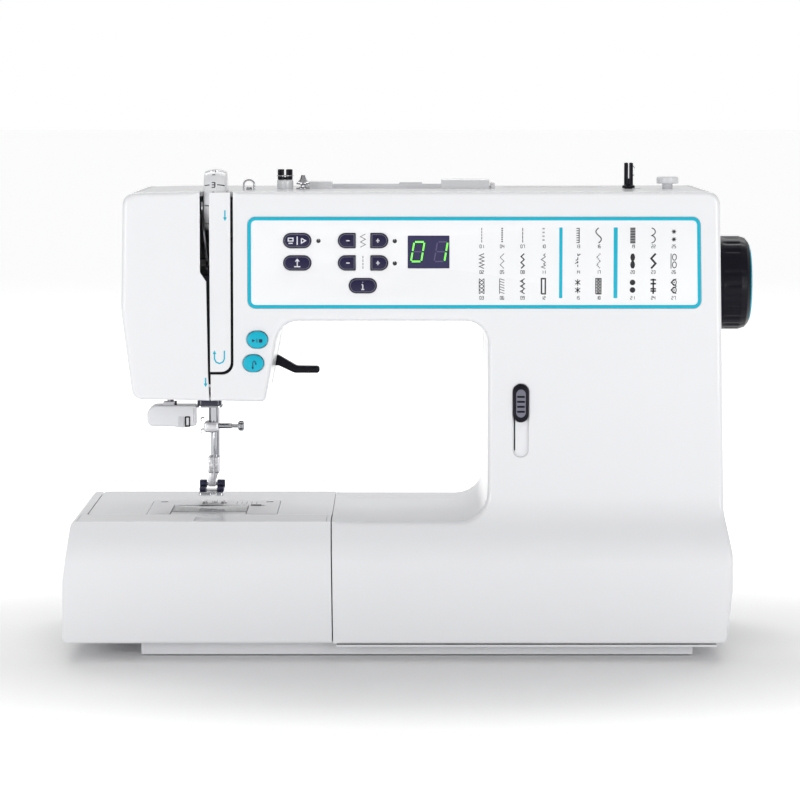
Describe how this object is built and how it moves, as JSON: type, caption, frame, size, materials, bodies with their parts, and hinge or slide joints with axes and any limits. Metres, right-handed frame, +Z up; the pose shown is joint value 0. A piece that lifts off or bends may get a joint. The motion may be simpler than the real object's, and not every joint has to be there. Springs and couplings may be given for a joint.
{
  "type": "sewing machine",
  "caption": "Free-arm domestic sewing machine with keys and display on the arm, a speed slider, a lifting presser foot, a turning handwheel and a slide-off accessory tray.",
  "frame": {"origin": "centre of the bounding box in X and Y, at the level of the rubber feet", "axes": "+X towards the handwheel, +Y towards the rear, away from the operator, +Z up"},
  "size_m": [0.439, 0.195, 0.3091],
  "materials": {
    "casing": "glossy cool white moulding",
    "panel": "white overlay with printed legend and a teal border",
    "teal": "glossy teal",
    "key": "near-black navy, glossy",
    "black": "fine-grained black",
    "display": "tinted window over a lit display",
    "chrome": "polished plate",
    "satin": "satin brushed",
    "alloy": "as cast",
    "bronze": "sintered",
    "rubber": "matt",
    "clear": "clear plastic",
    "board": "coated board",
    "lamp": "milky lens",
    "motor": "dark enamel",
    "dial": "ribbed white"
  },
  "bodies": {
    "machine_body": {"base_plate": "casing", "rubber_feet": "rubber", "front_cover": "casing", "rear_cover": "casing", "top_cover": "casing", "face_cover": "casing", "thread_strip": "casing", "thread_channel": "black", "free_arm_cover": "casing", "cast_frame": "alloy", "shaft_bushes": "bronze", "needle_plate": "satin", "bobbin_case": "black", "control_panel": "panel", "display_window": "display", "circuit_board": "board", "sewing_lamp": "lamp", "socket_panel": "black", "motor_housing": "motor", "drive_belts": "rubber", "thread_guides": "chrome", "pretension_post": "black", "winder_stopper": "casing"},
    "tray": {"extension_tray": "casing"},
    "tray_lid": {"tray_lid": "casing"},
    "main_drive": {"main_shaft": "satin", "handwheel": "black"},
    "motor_rotor": {"motor_pulley": "satin"},
    "needle_bar": {"needle_bar": "chrome", "needle": "chrome"},
    "lower_shaft": {"lower_shaft": "satin"},
    "rotary_hook": {"rotary_hook": "chrome"},
    "bobbin": {"bobbin": "clear"},
    "bobbin_cover": {"bobbin_cover": "clear"},
    "cover_latch": {"cover_latch": "black"},
    "clamp_screw": {"clamp_screw": "chrome"},
    "take_up_lever": {"take_up_lever": "chrome"},
    "presser_bar": {"presser_bar": "chrome"},
    "presser_foot": {"presser_foot": "satin"},
    "lifter_lever": {"lifter_lever": "black"},
    "needle_threader": {"needle_threader": "casing"},
    "buttonhole_lever": {"buttonhole_lever": "casing"},
    "start_button": {"start_button": "teal"},
    "reverse_button": {"reverse_button": "teal"},
    "needle_key": {"needle_key": "key"},
    "lock_key": {"lock_key": "key"},
    "width_minus_key": {"width_minus_key": "key"},
    "width_plus_key": {"width_plus_key": "key"},
    "length_minus_key": {"length_minus_key": "key"},
    "length_plus_key": {"length_plus_key": "key"},
    "select_key": {"select_key": "key"},
    "speed_slider": {"speed_slider": "black"},
    "tension_dial": {"tension_dial": "dial"},
    "winder_arm": {"winder_arm": "motor"},
    "winder_spindle": {"winder_spindle": "black"},
    "carry_handle": {"carry_handle": "casing"},
    "spool_pin": {"spool_pin": "black"},
    "power_switch": {"power_switch": "black"},
    "feed_bar": {"feed_bar": "satin"},
    "feed_dog": {"feed_dog": "satin"}
  },
  "joints": [
    {"name": "tray_slide", "type": "slide", "parent": "machine_body", "child": "tray", "axis": [-1, 0, 0], "range_m": [0, 0.18]},
    {"name": "tray_lid_hinge", "type": "hinge", "parent": "tray", "child": "tray_lid", "pos_m": [-0.133, -0.052, 0.0849], "axis": [-1, 0, 0], "range_deg": [0, 105]},
    {"name": "main_shaft_turn", "type": "hinge", "parent": "machine_body", "child": "main_drive", "pos_m": [0, 0.01, 0.231], "axis": [1, 0, 0], "continuous": true},
    {"name": "motor_turn", "type": "hinge", "parent": "machine_body", "child": "motor_rotor", "pos_m": [0.13, -0.03, 0.12], "axis": [1, 0, 0], "continuous": true},
    {"name": "lower_shaft_turn", "type": "hinge", "parent": "machine_body", "child": "lower_shaft", "pos_m": [0, 0.0073, 0.054], "axis": [1, 0, 0], "continuous": true},
    {"name": "hook_turn", "type": "hinge", "parent": "machine_body", "child": "rotary_hook", "pos_m": [-0.13, -0.007, 0.07], "axis": [0, 0, 1], "continuous": true},
    {"name": "bobbin_turn", "type": "hinge", "parent": "machine_body", "child": "bobbin", "pos_m": [-0.13, -0.007, 0.074], "axis": [0, 0, 1], "continuous": true},
    {"name": "bobbin_cover_slide", "type": "slide", "parent": "machine_body", "child": "bobbin_cover", "axis": [0, -0.6, 0.8], "range_m": [0, 0.03]},
    {"name": "cover_latch_slide", "type": "slide", "parent": "machine_body", "child": "cover_latch", "axis": [1, 0, 0], "range_m": [0, 0.0018], "stiffness_N_per_m": 150},
    {"name": "needle_bar_slide", "type": "slide", "parent": "machine_body", "child": "needle_bar", "axis": [0, 0, -1], "range_m": [0, 0.028]},
    {"name": "clamp_screw_turn", "type": "hinge", "parent": "needle_bar", "child": "clamp_screw", "pos_m": [-0.118, 0.01, 0.1373], "axis": [1, 0, 0], "range_deg": [-180, 180]},
    {"name": "take_up_swing", "type": "hinge", "parent": "machine_body", "child": "take_up_lever", "pos_m": [-0.1321, -0.022, 0.246], "axis": [1, 0, 0], "range_deg": [0, 34]},
    {"name": "presser_bar_slide", "type": "slide", "parent": "machine_body", "child": "presser_bar", "axis": [0, 0, 1], "range_m": [-0.0052, 0.00246]},
    {"name": "foot_tilt", "type": "hinge", "parent": "presser_bar", "child": "presser_foot", "pos_m": [-0.1315, 0.022, 0.098], "axis": [1, 0, 0], "range_deg": [-10, 2]},
    {"name": "lifter_swing", "type": "hinge", "parent": "machine_body", "child": "lifter_lever", "pos_m": [-0.1, 0.0255, 0.181], "axis": [0, 1, 0], "range_deg": [-18, 38]},
    {"name": "threader_slide", "type": "slide", "parent": "machine_body", "child": "needle_threader", "axis": [0, 0, -1], "range_m": [0, 0.024], "stiffness_N_per_m": 30, "springref_m": -0.01},
    {"name": "buttonhole_slide", "type": "slide", "parent": "machine_body", "child": "buttonhole_lever", "axis": [0, 0, -1], "range_m": [0, 0.05]},
    {"name": "start_press", "type": "slide", "parent": "machine_body", "child": "start_button", "axis": [0, 1, 0], "range_m": [0, 0.002], "stiffness_N_per_m": 300},
    {"name": "reverse_press", "type": "slide", "parent": "machine_body", "child": "reverse_button", "axis": [0, 1, 0], "range_m": [0, 0.002], "stiffness_N_per_m": 300},
    {"name": "needle_press", "type": "slide", "parent": "machine_body", "child": "needle_key", "axis": [0, 1, 0], "range_m": [0, 0.001], "stiffness_N_per_m": 400},
    {"name": "lock_press", "type": "slide", "parent": "machine_body", "child": "lock_key", "axis": [0, 1, 0], "range_m": [0, 0.001], "stiffness_N_per_m": 400},
    {"name": "width_minus_press", "type": "slide", "parent": "machine_body", "child": "width_minus_key", "axis": [0, 1, 0], "range_m": [0, 0.001], "stiffness_N_per_m": 400},
    {"name": "width_plus_press", "type": "slide", "parent": "machine_body", "child": "width_plus_key", "axis": [0, 1, 0], "range_m": [0, 0.001], "stiffness_N_per_m": 400},
    {"name": "length_minus_press", "type": "slide", "parent": "machine_body", "child": "length_minus_key", "axis": [0, 1, 0], "range_m": [0, 0.001], "stiffness_N_per_m": 400},
    {"name": "length_plus_press", "type": "slide", "parent": "machine_body", "child": "length_plus_key", "axis": [0, 1, 0], "range_m": [0, 0.001], "stiffness_N_per_m": 400},
    {"name": "select_press", "type": "slide", "parent": "machine_body", "child": "select_key", "axis": [0, 1, 0], "range_m": [0, 0.001], "stiffness_N_per_m": 400},
    {"name": "speed_slide", "type": "slide", "parent": "machine_body", "child": "speed_slider", "axis": [0, 0, -1], "range_m": [0, 0.0215]},
    {"name": "tension_turn", "type": "hinge", "parent": "machine_body", "child": "tension_dial", "pos_m": [-0.124, -0.06, 0.2865], "axis": [1, 0, 0], "range_deg": [-100, 170]},
    {"name": "winder_shift", "type": "slide", "parent": "machine_body", "child": "winder_arm", "axis": [1, 0, 0], "range_m": [0, 0.005]},
    {"name": "winder_turn", "type": "hinge", "parent": "winder_arm", "child": "winder_spindle", "pos_m": [0.1384, -0.01, 0.29], "axis": [0, 0, 1], "continuous": true},
    {"name": "handle_swing", "type": "hinge", "parent": "machine_body", "child": "carry_handle", "pos_m": [-0.01, -0.005, 0.2928], "axis": [1, 0, 0], "range_deg": [0, 88]},
    {"name": "spool_pin_swing", "type": "hinge", "parent": "machine_body", "child": "spool_pin", "pos_m": [0.062, 0.028, 0.2865], "axis": [0, -1, 0], "range_deg": [0, 90]},
    {"name": "switch_rock", "type": "hinge", "parent": "machine_body", "child": "power_switch", "pos_m": [0.198, 0.028, 0.044], "axis": [0, 1, 0], "range_deg": [-8, 8]},
    {"name": "feed_shift", "type": "slide", "parent": "machine_body", "child": "feed_bar", "axis": [0, 1, 0], "range_m": [-0.002, 0.002]},
    {"name": "feed_lift", "type": "slide", "parent": "feed_bar", "child": "feed_dog", "axis": [0, 0, 1], "range_m": [-0.0025, 0.0009]}
  ],
  "couplings": [
    {"joint": "motor_turn", "follows": "main_shaft_turn", "ratio": 3.7143},
    {"joint": "lower_shaft_turn", "follows": "main_shaft_turn", "ratio": 2},
    {"joint": "hook_turn", "follows": "main_shaft_turn", "ratio": -2},
    {"joint": "lifter_swing", "follows": "presser_bar_slide", "rad_per_m": -127.5}
  ]
}
